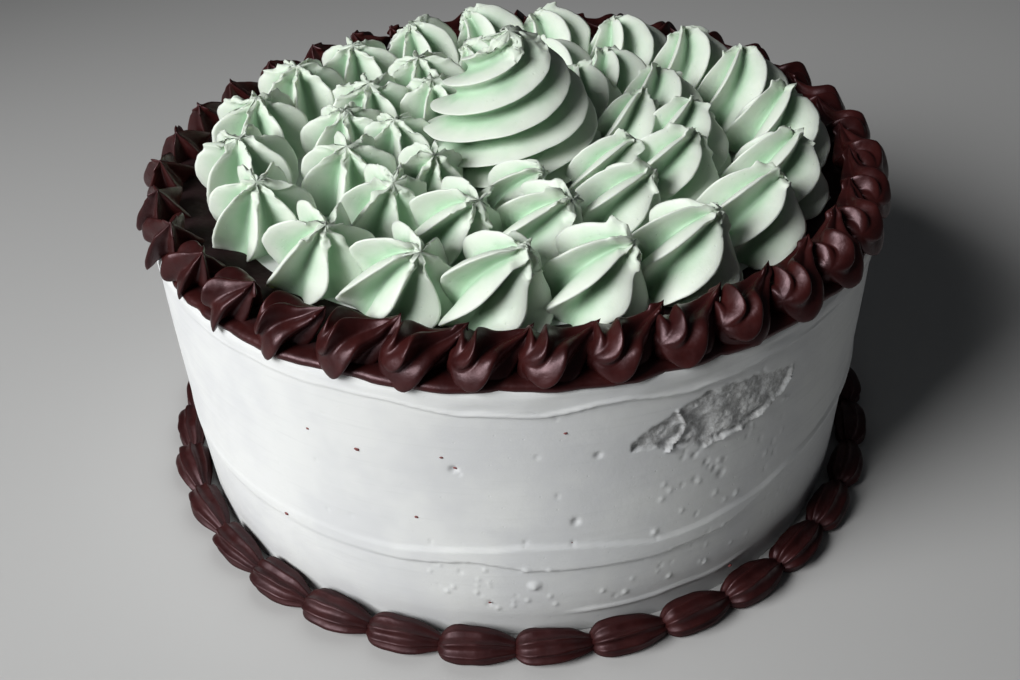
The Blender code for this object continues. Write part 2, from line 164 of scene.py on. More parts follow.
# Frosted wall: heights of its marks along the azimuth, in degrees and millimetres
LIP_EDGE = (
    (-180.0, 85.0), (-130.0, 86.0), (-105.5, 85.7), (-98.0, 83.8), (-88.0, 82.9), (-80.7, 84.9),
    (-77.0, 85.4), (-68.0, 82.6), (-60.0, 84.0), (-40.0, 84.6), (20.0, 85.4), (100.0, 84.2),
    (180.0, 85.0),
)
LEDGE_TOP = (
    (-180.0, 33.0), (-130.0, 33.5), (-108.0, 34.7), (-90.7, 38.4), (-81.4, 37.3), (-72.4, 34.0),
    (-63.1, 34.4), (-53.2, 36.4), (-47.8, 39.5), (-36.0, 42.0), (-15.0, 44.0), (60.0, 43.0), (180.0, 33.0),
)
LEDGE_FOOT = (
    (-180.0, 29.5), (-130.0, 29.5), (-108.2, 29.4), (-98.0, 32.4), (-89.1, 28.9), (-80.5, 28.3),
    (-70.4, 27.6), (-60.0, 28.6), (-56.0, 30.6), (-48.0, 36.5), (-36.0, 40.0), (-15.0, 42.0),
    (60.0, 40.0), (180.0, 29.5),
)
# Torn patch: its upper and lower edges, the curl across it, and its relief in millimetres
TORN_UPPER = ((-76.0, 69.4), (-72.3, 74.6), (-69.3, 77.2), (-65.5, 81.4), (-59.5, 80.6), (-50.3, 75.5))
TORN_LOWER = ((-76.0, 69.0), (-70.5, 65.8), (-64.8, 62.5), (-57.3, 64.8), (-51.6, 69.3), (-50.3, 75.4))
TORN_CURL = ((-69.7, 77.2), (-68.2, 72.0), (-68.6, 68.4), (-70.8, 65.2))
TORN_CRAGS = (0.22, 0.24, 0.24)
TORN_DEPTH = (1.1, 0.55)
TORN_CURL_RELIEF = 1.3
TORN_LINE_WIDTH = (0.55, 0.5)  # Of the lower rim and of the curl
TORN_PER_DEGREE = 1.94
# Relief of the other marks, in millimetres
WALL_OVAL = 0.25
WALL_WAVE = (34.0, 0.30)  # Spacing and depth
WALL_FLAT_WAVE = (60.0, 0.03)
LIP_STEP = 0.4
LIP_BEAD = 0.35
LIP_SMEAR = 0.35
LEDGE_STEP = 0.65
LEDGE_SINK = 0.35
FOOT_BEAD_HEIGHT = 9.2
FOOT_BEAD_RELIEF = 0.6
FOOT_LEAN = 1.3 * MM

# Rows of the wall: it is finest on the side that the photograph shows
FRONT_AZIMUTHS = (-126.0, -34.0, 0.26)
OTHER_AZIMUTHS = (-34.0, 234.0, 1.0)
FINE_FROM = 60.0
RIM_FROM = 90.0
FINE_ROWS = 58
COARSE_STEP = 0.75
RIM_SHARES = (0.25, 0.5, 0.75, 1.0, 3.0, 7.0, 14.0)
RIM_ROUNDING = 1.5 * MM
RIM_DRAWN_IN = 0.35 * MM

# Small pits and bubbles that stand out: azimuth, height, radius and depth in millimetres
WALL_PITS = (
    (-83.4, 46.3, 1.1, 0.75), (-80.5, 68.4, 1.0, 0.55), (-99.3, 65.4, 1.2, 0.7), (-61.8, 50.1, 1.3, 0.6),
    (-66.6, 60.6, 0.9, 0.5), (-83.8, 38.6, 0.6, 0.4), (-95.6, 14.9, 0.6, 0.4), (-58.4, 39.2, 0.9, -0.5),
    (-89.1, 22.1, 1.7, -0.7), (-90.3, 29.3, 1.3, -0.6), (-75.7, 13.9, 0.9, -0.5), (-68.7, 15.4, 0.8, -0.5),
    (-62.5, 15.3, 0.9, -0.6), (-64.6, 56.5, 0.8, 0.5), (-63.0, 53.0, 0.9, 0.5), (-72.0, 36.8, 1.0, -0.5),
)

# Scattered small spots: how many, then azimuths, heights, radii and the depths to choose from
SPOT_SEED = 77
SPOT_SCATTERS = (
    (46, (-104.0, -46.0), (12.0, 30.0), (0.45, 0.8), (-0.35, -0.25, 0.25)),
    (110, (-180.0, 180.0), (14.0, 84.0), (0.45, 0.9), None),
    (26, (-72.0, -50.0), (38.0, 66.0), (0.5, 0.9), (-0.3, 0.3)),
)
SPOT_ANY_DEPTH = (0.12, 0.35)

# Dark crumbs caught in the frosting: azimuth, height in millimetres, size in millimetres
CRUMBS = (
    (-112.5, 67.4, 0.62), (-120.0, 69.4, 0.40), (-100.8, 69.3, 0.42), (-105.0, 47.1, 0.50),
    (-84.8, 77.0, 0.42), (-99.1, 65.6, 0.50), (-95.6, 15.2, 0.36), (-127.5, 31.0, 0.62),
    (-83.9, 38.5, 0.34), (-57.5, 8.6, 0.55),
)
CRUMB_CORNERS = 8
CRUMB_BENDS = (-0.9, -0.3, 0.3, 0.9)
CRUMB_THICKNESS = 0.7
CRUMB_FIRST_DRAW = 4000

# Display colours, 8 bits a channel; the chocolate's are linear
# Mint: the darker, greener groove colour is painted shade, and the paler crest colour is painted light
MINT_GROOVE_PAINTED_SHADE = (175, 206, 177)
MINT_BODY = (209, 224, 207)
MINT_CREST_PAINTED_LIGHT = (226, 234, 222)
MINT_TORN = (214, 226, 210)
FROSTING_BODY = ((214, 216, 217), (224, 226, 225))
FROSTING_STREAK = (201, 204, 203)
FROSTING_TORN = (166, 166, 165)
CRUMB_COLOURS = ((96, 38, 40), (132, 70, 66))
FLOOR_COLOUR = (192, 192, 191)
CHOCOLATE = ((0.024, 0.0046, 0.0044), (0.040, 0.0076, 0.0068))
# Painted shade colour of the chocolate, for its dull places
CHOCOLATE_SHADED = (0.008, 0.0016, 0.0016)
CHOCOLATE_TINT = (1.0, 0.72, 0.78, 1.0)

# Camera: fitted to the rim, the foot and the swirl of the cake
CAMERA_LENS = 38.82
CAMERA_SENSOR = 36.0
CAMERA_PLACE = Vector((-2.758, -311.274, 255.037)) * MM
CAMERA_ELEVATION = math.radians(36.566)
CAMERA_ROLL = math.radians(-1.903)

# Studio: one soft light from the left, and a dim sky
LIGHT_AZIMUTH = -146.0
LIGHT_ELEVATION = 33.0
LIGHT_DISTANCE = 1.30
LIGHT_SIZE = 0.7
LIGHT_SPREAD = 70.0
LIGHT_WATTS = 3.9
LIGHT_TARGET = Vector((0.0, 0.0, 0.06))
SKY_COLOUR = (0.80, 0.84, 0.90, 1.0)
SKY_STRENGTH = 0.035
FLOOR_HALF = 4.0


def smoothstep(low, high, value):
    share = np.clip((value - low) / (high - low), 0.0, 1.0)
    return share * share * (3.0 - 2.0 * share)


def mix(a, b, share):
    return a + (b - a) * share


def wrap_degrees(azimuth):
    return (azimuth + 180.0) % 360.0 - 180.0


def linear(red, green, blue):
    """Linear colour of an 8-bit display colour."""
    shares = [value / 255.0 for value in (red, green, blue)]
    return tuple(s / 12.92 if s <= 0.04045 else ((s + 0.055) / 1.055) ** 2.4 for s in shares)


def profile(table, at):
    """Smooth curve through (place, value) pairs, read at an array of places."""
    places = np.array([place for place, _ in table])
    values = np.array([value for _, value in table])
    slopes = np.gradient(values, places)
    low = np.clip(np.searchsorted(places, at) - 1, 0, len(places) - 2)
    width = places[low + 1] - places[low]
    s = np.clip((at - places[low]) / width, 0.0, 1.0)
    rise = values[low] * (2 * s ** 3 - 3 * s ** 2 + 1) + values[low + 1] * (3 * s ** 2 - 2 * s ** 3)
    lean = slopes[low] * (s ** 3 - 2 * s ** 2 + s) + slopes[low + 1] * (s ** 3 - s ** 2)
    return rise + lean * width


class Noise:
    """Smooth seeded noise between -1 and 1, on a lattice that repeats every 32 cells."""

    CELLS = 32

    def __init__(self, seed):
        size = (self.CELLS, self.CELLS, self.CELLS)
        self.table = np.random.default_rng(seed).uniform(-1.0, 1.0, size)

    def __call__(self, points, spacing):
        place = np.asarray(points) / spacing
        low = np.floor(place).astype(int)
        part = place - low
        part = part * part * (3.0 - 2.0 * part)
        total = 0.0
        for corner in range(8):
            step = np.array([corner & 1, corner >> 1 & 1, corner >> 2])
            cell = (low + step) % self.CELLS
            weight = np.prod(np.where(step == 1, part, 1.0 - part), axis=-1)
            total = total + weight * self.table[cell[..., 0], cell[..., 1], cell[..., 2]]
        return total

    def wave(self, points, spacing_and_depth):
        spacing, depth = spacing_and_depth
        return self(points, spacing) * depth


NOISES = [Noise(seed) for seed in (101, 102, 103)]


def polar(radius, azimuth, height):
    """Points at a distance from the axis of the cake, an azimuth in radians and a height."""
    places = (radius * np.cos(azimuth), radius * np.sin(azimuth), height)
    return np.stack(np.broadcast_arrays(*places), axis=-1)


def outward(points):
    """Distance of each point from the axis of the cake."""
    return np.hypot(points[..., 0], points[..., 1])


def out_and_along(azimuth):
    """Directions seen from above: away from the axis of the cake, and anticlockwise round it."""
    cos, sin = math.cos(azimuth), math.sin(azimuth)
    return np.array((cos, sin)), np.array((-sin, cos))


def add_object(name, data):
    made = bpy.data.objects.new(name, data)
    bpy.context.scene.collection.objects.link(made)
    return made


def jitter(points, wave):
    """Three independent noises as a displacement for each point."""
    return np.stack([noise.wave(points, wave) for noise in NOISES], axis=-1)


def waves(points, pair):
    """Height of a coarse and a fine wave at each point, from their spacings and depths."""
    return NOISES[0].wave(points, pair[0]) + NOISES[1].wave(points, pair[1])


def edge_line(azimuth):
    """Radius of the line between the mint and the top border, at an azimuth in radians."""
    return EDGE_LINE + EDGE_LINE_SIDE_EXTRA * np.cos(azimuth) ** 2


def piping_shares(degrees):
    """Shares of drag and of turn: plain stars at the back left, then dollops pulled anticlockwise,
    which are turned more and more towards the right."""
    degrees = wrap_degrees(degrees)
    if degrees >= 95.0:
        fade = 1.0 - float(smoothstep(95.0, 130.0, degrees))
        return fade, fade
    return float(smoothstep(-175.0, -105.0, degrees)), float(smoothstep(-175.0, 0.0, degrees))


def quads(steps, rows, columns):
    """Faces of so many steps between rows of points, where each row closes on itself."""
    row, column = np.meshgrid(np.arange(steps), np.arange(columns), indexing="ij")
    here, above = row * columns, (row + 1) % rows * columns
    after = (column + 1) % columns
    corners = (here + column, here + after, above + after, above + column)
    return np.stack(corners, axis=-1).reshape(-1, 4)


class Surface:
    """Points, faces and values at the points of one piece, joined from rows of points."""

    def __init__(self):
        self.points = []
        self.faces = []
        self.values = {}

    def add_points(self, points, values):
        first = len(self.points)
        self.points.extend(points.reshape(-1, 3).tolist())
        for name, value in values.items():
            kept = self.values.setdefault(name, [0.0] * first)
            kept.extend(np.broadcast_to(value, points.shape[:-1]).reshape(-1).tolist())
        return first

    def add_rows(self, rows, values, bottom, top):
        """Rows that close on themselves, with an end point below the first and above the last."""
        count, columns = rows.shape[:2]
        first = self.add_points(rows, values)
        self.faces.extend((first + quads(count - 1, count, columns)).tolist())
        ends = ((bottom, first, True), (top, first + (count - 1) * columns, False))
        for end, start, down in ends:
            edge_values = {name: np.mean(self.values[name][start:start + columns]) for name in values}
            centre = self.add_points(np.array([[end]]), edge_values)
            for column in range(columns):
                here = start + column
                after = start + (column + 1) % columns
                self.faces.append([after, here, centre] if down else [here, after, centre])

    def add_ring(self, sections, values):
        """Closed ring of closed cross-sections: (stations, corners, 3)."""
        stations, corners = sections.shape[:2]
        first = self.add_points(sections, values)
        self.faces.extend((first + quads(stations, stations, corners)[:, [0, 3, 2, 1]]).tolist())

    def piece(self, name, look, nodes):
        mesh = bpy.data.meshes.new(name)
        mesh.from_pydata(self.points, [], self.faces)
        mesh.shade_smooth()
        for label, values in self.values.items():
            kept = mesh.attributes.new(label, "FLOAT", "POINT")
            kept.data.foreach_set("value", values)
        mesh.materials.append(look)
        made = add_object(name, mesh)
        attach(made, "root")
        if nodes:
            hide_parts(*nodes)
        return made


def set_inputs(node, **values):
    """Fixed values at the inputs of a node, named with underscores in place of spaces."""
    for name, value in values.items():
        node.inputs[name.replace("_", " ")].default_value = value


class Shading:
    """Node tree of one material, built by short calls."""

    def __init__(self, name):
        self.material = bpy.data.materials.new(name)
        self.material.use_nodes = True
        self.tree = self.material.node_tree
        self.shader = self.tree.nodes["Principled BSDF"]
        self.place = self.node("TexCoord").outputs["Object"]

    def fixed(self, **values):
        set_inputs(self.shader, **values)

    def node(self, kind, **values):
        made = self.tree.nodes.new("ShaderNode" + kind)
        set_inputs(made, **values)
        return made

    def link(self, output, target):
        self.tree.links.new(output, target)

    def noise(self, size, detail=3.0, place=None, rough=0.55):
        """Noise with features of a given size in metres."""
        made = self.node("TexNoise", Scale=1.0 / size, Detail=detail, Roughness=rough)
        self.link(place or self.place, made.inputs["Vector"])
        return made.outputs["Fac"]

    def cells(self, size):
        """Distance to the nearest of scattered points, with a given spacing in metres."""
        made = self.node("TexVoronoi", Scale=1.0 / size)
        self.link(self.place, made.inputs["Vector"])
        return made.outputs["Distance"]

    def stretched(self, along, across):
        """Place stretched round the cake, for streaks: features are longer along the wall."""
        parts = self.node("SeparateXYZ")
        self.link(self.place, parts.inputs[0])
        joined = self.node("CombineXYZ")
        self.link(self.math("MULTIPLY", self.value_of("around"), along), joined.inputs[0])
        self.link(self.math("MULTIPLY", parts.outputs[2], across), joined.inputs[1])
        return joined.outputs[0]

    def value_of(self, name):
        made = self.node("Attribute")
        made.attribute_name = name
        return made.outputs["Fac"]

    def math(self, operation, first, second):
        made = self.node("Math")
        made.operation = operation
        for socket, value in zip(made.inputs, (first, second)):
            if isinstance(value, (int, float)):
                socket.default_value = value
            else:
                self.link(value, socket)
        return made.outputs[0]

    def ranged(self, value, low, high, to_low=0.0, to_high=1.0):
        made = self.node("MapRange", From_Min=low, From_Max=high, To_Min=to_low, To_Max=to_high)
        made.interpolation_type = "SMOOTHSTEP"
        self.link(value, made.inputs["Value"])
        return made.outputs["Result"]

    def blend(self, share, first, second):
        """Colour between two: each is a fixed colour or another node's output."""
        made = self.node("Mix")
        made.data_type = "RGBA"
        self.link(share, made.inputs["Factor"])
        sockets = [socket for socket in made.inputs if socket.type == "RGBA"]
        for socket, value in zip(sockets, (first, second)):
            if isinstance(value, tuple):
                socket.default_value = (*value, 1.0)
            else:
                self.link(value, socket)
        return [output for output in made.outputs if output.type == "RGBA"][0]

    def bumps(self, layers):
        """Chain of bumps, each (height output, depth in metres)."""
        below = None
        for height, depth in layers:
            made = self.node("Bump", Distance=depth)
            self.link(height, made.inputs["Height"])
            if below:
                self.link(below, made.inputs["Normal"])
            below = made.outputs["Normal"]
        self.link(below, self.shader.inputs["Normal"])


def mint_look():
    look = Shading("mint buttercream")
    look.fixed(Subsurface_Weight=0.25, Subsurface_Radius=(1.0, 1.0, 0.8), IOR=1.45)
    look.fixed(Subsurface_Scale=2.0 * MM)
    ridge = look.value_of("ridge")
    patch = look.noise(9.0 * MM, 2.0)
    share = look.math("ADD", ridge, look.ranged(patch, 0.3, 0.7, -0.12, 0.12))
    # Painted shade: darker green towards the grooves; painted light: paler towards the crests
    body = look.blend(look.ranged(share, 0.0, 0.55), linear(*MINT_GROOVE_PAINTED_SHADE), linear(*MINT_BODY))
    crest_painted_light = look.blend(look.ranged(share, 0.35, 0.98), body, linear(*MINT_CREST_PAINTED_LIGHT))
    torn = look.blend(look.value_of("torn"), crest_painted_light, linear(*MINT_TORN))
    look.link(torn, look.shader.inputs["Base Color"])
    satin = look.noise(1.6 * MM, 4.0)
    look.link(look.ranged(satin, 0.3, 0.7, 0.42, 0.58), look.shader.inputs["Roughness"])
    fine = look.noise(0.7 * MM, 5.0)
    bubbles = look.ranged(look.cells(2.6 * MM), 0.0, 0.16)
    look.bumps(((look.noise(4.0 * MM, 2.0), 0.10 * MM), (fine, 0.05 * MM), (bubbles, 0.10 * MM)))
    return look.material


def chocolate_look():
    look = Shading("chocolate icing")
    look.fixed(IOR=1.5, Specular_IOR_Level=0.42, Specular_Tint=CHOCOLATE_TINT)
    dull_and_painted_shade = look.value_of("dull_and_painted_shade")
    patch = look.noise(7.0 * MM, 3.0)
    colour = look.blend(look.ranged(patch, 0.3, 0.7), *CHOCOLATE)
    # Painted shade: dull places, inside the band and on the foot, are darkened towards the shaded colour
    colour = look.blend(dull_and_painted_shade, colour, CHOCOLATE_SHADED)
    look.link(colour, look.shader.inputs["Base Color"])
    satin = look.noise(2.2 * MM, 4.0)
    rough = look.math("ADD", look.ranged(satin, 0.3, 0.7, 0.32, 0.44), look.math("MULTIPLY", dull_and_painted_shade, 0.45))
    look.link(rough, look.shader.inputs["Roughness"])
    fine = look.noise(0.9 * MM, 5.0)
    look.bumps(((look.noise(3.0 * MM, 2.0), 0.12 * MM), (fine, 0.04 * MM)))
    return look.material


def frosting_look():
    look = Shading("white frosting")
    look.fixed(Subsurface_Weight=0.15, Subsurface_Radius=(1.0, 1.0, 0.9), IOR=1.45)
    look.fixed(Subsurface_Scale=1.5 * MM)
    cloud = look.noise(26.0 * MM, 3.0)
    streaks = look.noise(1.0, 5.0, look.stretched(1.0 / (34.0 * MM), 1.0 / (1.7 * MM)), 0.6)
    greyer, whiter = (linear(*colour) for colour in FROSTING_BODY)
    body = look.blend(look.ranged(cloud, 0.35, 0.65), greyer, whiter)
    marked = look.blend(look.ranged(streaks, 0.52, 0.78, 0.0, 0.30), body, linear(*FROSTING_STREAK))
    torn = look.value_of("torn")
    crumbly = look.noise(1.1 * MM, 4.0)
    # Darker grey in the torn patch, mottled by the crumbly noise
    torn_darkening = look.math("MULTIPLY", torn, look.ranged(crumbly, 0.35, 0.65, 0.25, 0.85))
    look.link(look.blend(torn_darkening, marked, linear(*FROSTING_TORN)), look.shader.inputs["Base Color"])
    look.link(look.ranged(streaks, 0.3, 0.7, 0.38, 0.58), look.shader.inputs["Roughness"])
    rough = look.math("MULTIPLY", torn, crumbly)
    pores = look.ranged(look.cells(3.4 * MM), 0.0, 0.12)
    look.bumps((
        (streaks, 0.035 * MM),
        (look.noise(6.0 * MM, 3.0), 0.08 * MM),
        (look.noise(0.8 * MM, 4.0), 0.02 * MM),
        (pores, 0.05 * MM),
        (rough, 0.30 * MM),
    ))
    return look.material


def crumb_look():
    look = Shading("dark crumbs")
    look.fixed(Roughness=0.6)
    grain = look.noise(0.3 * MM, 3.0)
    darker, redder = (linear(*colour) for colour in CRUMB_COLOURS)
    colour = look.blend(look.ranged(grain, 0.35, 0.65), darker, redder)
    look.link(colour, look.shader.inputs["Base Color"])
    look.bumps(((grain, 0.08 * MM),))
    return look.material


class BentAxis:
    """Axis of one piped dollop: it starts upright and bends over evenly towards its pull."""

    def __init__(self, base, floor, pull, length, tilt):
        distance = math.hypot(*pull)
        self.base = base
        self.floor = floor
        self.forward = (pull[0] / distance, pull[1] / distance)
        self.heading = math.atan2(pull[1], pull[0])
        self.length = length
        self.tilt = tilt

    def place(self, level, radius=0.0, angle=0.0):
        """Points at a share of the axis, a radius away from it, in a direction seen from above."""
        tilt = self.tilt * level
        arc = self.length / self.tilt
        towards = radius * np.cos(angle - self.heading)
        ahead = arc * (1.0 - np.cos(tilt)) + towards * np.cos(tilt)
        aside = radius * np.sin(angle - self.heading)
        height = arc * np.sin(tilt) - towards * np.sin(tilt)
        x = self.base[0] + self.forward[0] * ahead - self.forward[1] * aside
        y = self.base[1] + self.forward[1] * ahead + self.forward[0] * aside
        return np.stack((x, y, self.floor + height), axis=-1)


class ShellAxis:
    """Axis of one small shell, from the low end of its head up to its tip, bent upwards evenly."""

    def __init__(self, middle, pull, rises, length):
        self.ahead = np.array((*pull, 0.0)) / math.hypot(*pull)
        self.side = np.array((-self.ahead[1], self.ahead[0], 0.0))
        self.upright = np.array((0.0, 0.0, 1.0))
        self.rises = rises
        self.length = length
        self.start = np.zeros(3)
        self.start = np.array(middle) - self.place(TOP_SHELL_HEAD)

    def place(self, level, radius=0.0, angle=0.0):
        """Points at a share of the axis, a radius away from it, at an angle round it."""
        first, last = self.rises
        rise = np.asarray(mix(first, last, level))
        arc = self.length / (last - first)
        above = radius * np.sin(angle)
        onward = arc * (np.sin(rise) - math.sin(first)) - above * np.sin(rise)
        height = arc * (math.cos(first) - np.cos(rise)) + above * np.cos(rise)
        aside = np.asarray(radius * np.cos(angle))[..., None] * self.side
        return self.start + onward[..., None] * self.ahead + height[..., None] * self.upright + aside


class Cell:
    """Ground that one dollop may cover: nearer to its own site than to any neighbour's."""

    def __init__(self, site, neighbours, outer_line):
        self.site = np.array(site)
        self.outer_line = outer_line
        planes = []
        for place, own_share in neighbours:
            away = np.array(place) - self.site
            distance = np.linalg.norm(away)
            planes.append((*(away / distance), own_share * distance))
        self.planes = np.array(planes)

    def press(self, points):
        """Points beyond the cell's edge are pressed back, to at most a little beyond it."""
        away = points[..., :2] - self.site
        distance = np.maximum(np.linalg.norm(away, axis=-1), 1e-9)
        direction = away / distance[..., None]
        towards = direction @ self.planes[:, :2].T
        limits = np.where(towards > 1e-6, self.planes[:, 2] / np.maximum(towards, 1e-6), 1.0)
        room = limits.min(axis=-1)
        along = direction @ self.site
        inside = along ** 2 - (self.site @ self.site - self.outer_line ** 2)
        room = np.minimum(room, -along + np.sqrt(np.maximum(inside, 0.0)))
        over = np.maximum(distance - room, 0.0)
        pressed = room + MINT_PRESS * (1.0 - np.exp(-over / MINT_PRESS))
        kept = np.where(distance > room, pressed, distance)
        moved = points.copy()
        moved[..., :2] = self.site + direction * kept[..., None]
        return moved


def ridge_share(phase, roundness):
    """Share of the way from a groove, 0, to a crest, 1, with a crest that is rounded a little."""
    fall = np.sqrt(np.sin(math.pi * phase) ** 2 + roundness ** 2)
    return 1.0 - (fall - roundness) / (math.sqrt(1.0 + roundness ** 2) - roundness)


class Star:
    """Form of a star-piped thing: its blades, and how far crests and grooves reach at each level."""

    SHARPENING = 1.35  # Gathers the samples at the crests
    CROWDING = 1.12  # Gathers the levels towards the tip
    REACH_DRAW = 0.06
    SHIFT_DRAW = 0.09
    FLICK_DRAW = 0.64
    FLAG_DRAW = (-0.10, 0.20)
    FLICK_PLACE = (0.12, 0.07)
    FLAG_PLACE = (0.92, 0.05)

    def __init__(self, blades, samples, levels, crest, groove, roundness, flanks, flick, overhang, wind):
        self.blades = blades
        self.crest = crest
        self.groove = groove
        self.roundness = roundness
        self.flanks = flanks
        self.flick = flick
        self.overhang = overhang
        self.wind = wind
        across = (np.arange(samples) / samples) * 2.0 - 1.0
        phase = 0.5 * np.sign(across) * np.abs(across) ** self.SHARPENING
        self.phase = np.tile(phase, blades)
        self.blade = np.repeat(np.arange(blades), samples)
        rising = np.linspace(0.0, 1.0, levels, endpoint=False)
        self.levels = 1.0 - (1.0 - rising) ** self.CROWDING

    def ridge(self, drag):
        """Share of the way from a groove, 0, to a crest, 1: full on one flank, hollow on the other."""
        full, hollow = (mix(*pair, drag) for pair in self.flanks)
        share = ridge_share(self.phase, mix(*self.roundness, drag))
        return share ** np.where(self.phase < 0.0, full, hollow)

    def surface(self, axis, size, start, turn, draws, drag):
        """Points of the star round its axis, and each point's share of the way up its ridge."""
        level = self.levels[:, None]
        ridge = self.ridge(drag)[None, :]
        reach_draw = 1.0 + draws.uniform(-self.REACH_DRAW, self.REACH_DRAW, self.blades)
        shift = draws.uniform(-self.SHIFT_DRAW, self.SHIFT_DRAW, self.blades)
        flick = draws.uniform(0.0, self.FLICK_DRAW, self.blades) * self.flick * drag
        flag = draws.uniform(*self.FLAG_DRAW, self.blades)
        plain_crest, dragged_crest = (profile(table, level) for table in self.crest)
        plain_groove, dragged_groove = (profile(table, level) for table in self.groove)
        crest = mix(plain_crest, dragged_crest, drag) * reach_draw[self.blade]
        for draw, (place, width) in ((flick, self.FLICK_PLACE), (flag, self.FLAG_PLACE)):
            crest = crest + draw[self.blade] * np.exp(-((level - place) / width) ** 2)
        groove = mix(plain_groove, dragged_groove, drag)
        reach = size * (groove + np.maximum(crest - groove, 0.0) * ridge)
        turned = turn * profile(self.wind, level)
        angle = start + TAU * (self.blade + self.phase) / self.blades + turned
        sway = self.overhang * drag * 4.0 * level * (1.0 - level) - self.flick * (1.0 - level) ** 3
        angle = angle + (shift[self.blade] + sway) * ridge
        return axis.place(level, reach, angle), np.broadcast_to(ridge, reach.shape)


# Each pair of tables is for a plain star and for a dollop that is pulled on
MINT_STAR = Star(
    blades=7, samples=14, levels=46, roundness=(0.07, 0.09), flanks=((1.2, 0.72), (1.5, 1.35)),
    flick=0.22, overhang=0.24, wind=((0.0, 0.0), (0.5, 0.55), (1.0, 1.0)),
    crest=(
        ((0.0, 0.78), (0.06, 0.90), (0.16, 1.0), (0.30, 1.04), (0.50, 1.03), (0.66, 0.98), (0.78, 0.87),
         (0.87, 0.68), (0.94, 0.44), (1.0, 0.20)),
        ((0.0, 0.80), (0.06, 0.93), (0.14, 1.01), (0.24, 1.04), (0.38, 1.01), (0.52, 0.92), (0.66, 0.78),
         (0.80, 0.57), (0.90, 0.38), (0.97, 0.24), (1.0, 0.16)),
    ),
    groove=(
        ((0.0, 0.62), (0.10, 0.56), (0.24, 0.50), (0.38, 0.46), (0.52, 0.40), (0.66, 0.33), (0.80, 0.25),
         (0.90, 0.17), (0.97, 0.09), (1.0, 0.04)),
        ((0.0, 0.66), (0.10, 0.60), (0.24, 0.54), (0.38, 0.49), (0.52, 0.42), (0.66, 0.34), (0.80, 0.24),
         (0.90, 0.14), (0.97, 0.08), (1.0, 0.03)),
    ),
)
SHELL_STAR = Star(
    blades=5, samples=12, levels=44, roundness=(0.08, 0.42), flanks=((1.1, 0.64), (1.2, 0.78)),
    flick=0.0, overhang=0.0,
    wind=((0.0, 0.0), (0.08, 0.16), (0.18, 0.42), (0.30, 0.66), (0.48, 0.86), (1.0, 1.0)),
    crest=(
        ((0.0, 0.50), (0.05, 0.74), (0.14, 0.96), (0.28, 1.05), (0.44, 0.98), (0.60, 0.80), (0.76, 0.55),
         (0.90, 0.28), (1.0, 0.05)),
        ((0.0, 0.20), (0.03, 0.45), (0.08, 0.70), (0.16, 0.91), (0.26, 1.0), (0.36, 0.98), (0.48, 0.84),
         (0.60, 0.62), (0.72, 0.44), (0.84, 0.27), (0.93, 0.14), (1.0, 0.03)),
    ),
    groove=(
        ((0.0, 0.30), (0.14, 0.46), (0.28, 0.48), (0.44, 0.44), (0.60, 0.35), (0.76, 0.25), (0.90, 0.14),
         (1.0, 0.03)),
        ((0.0, 0.14), (0.03, 0.32), (0.08, 0.46), (0.16, 0.58), (0.28, 0.62), (0.40, 0.54), (0.52, 0.43),
         (0.64, 0.33), (0.76, 0.23), (0.88, 0.13), (1.0, 0.02)),
    ),
)


class Dollop:
    """Place, size and sweep of one mint dollop, drawn once for all that depends on them."""

    def __init__(self, ring, number, azimuth, distance, size, draws):
        self.ring = ring
        self.node = f"mint_{ring}_{number + 1:02d}"
        self.azimuth = azimuth
        drag, turn = piping_shares(math.degrees(azimuth))
        self.drag = drag
        out, along = out_and_along(azimuth)
        pull = along + out * MINT_PULL_OUTWARD * drag
        length = mix(MINT_AXIS_STRAIGHT, MINT_AXIS_DRAGGED, drag) * draws.uniform(0.94, 1.04)
        tilt = math.radians(mix(*MINT_TILT, drag) * draws.uniform(0.92, 1.06))
        self.turn = math.radians(mix(*MINT_TURN, turn))
        self.size = size * draws.uniform(0.96, 1.04)
        self.start = draws.uniform(0.0, TAU)
        self.axis = BentAxis(distance * out, MINT_FLOOR, pull, length, tilt)
        self.site = self.axis.place(MINT_SITE_LEVEL)[:2]


def mint_dollops():
    draws = random.Random(MINT_SEED)
    dollops = []
    for ring, count, radius, first, size in MINT_RINGS:
        for number in range(count):
            azimuth = math.radians(first + 360.0 * number / count + draws.uniform(-1.4, 1.4))
            distance = radius + draws.uniform(-0.8, 0.8) * MM
            if ring == "outer":
                distance += edge_line(azimuth) - EDGE_LINE
            dollops.append(Dollop(ring, number, azimuth, distance, size, draws))
    return dollops


def torn_points(points, level, start):
    """Points near the tip pulled about where the cream tore off the nozzle, and how much each was."""
    torn = smoothstep(start, 1.0, level) * np.ones(points.shape[:-1])
    pulled = jitter(points, TEAR_COARSE) + jitter(points + 0.5, TEAR_FINE)
    return points + pulled * torn[..., None], torn


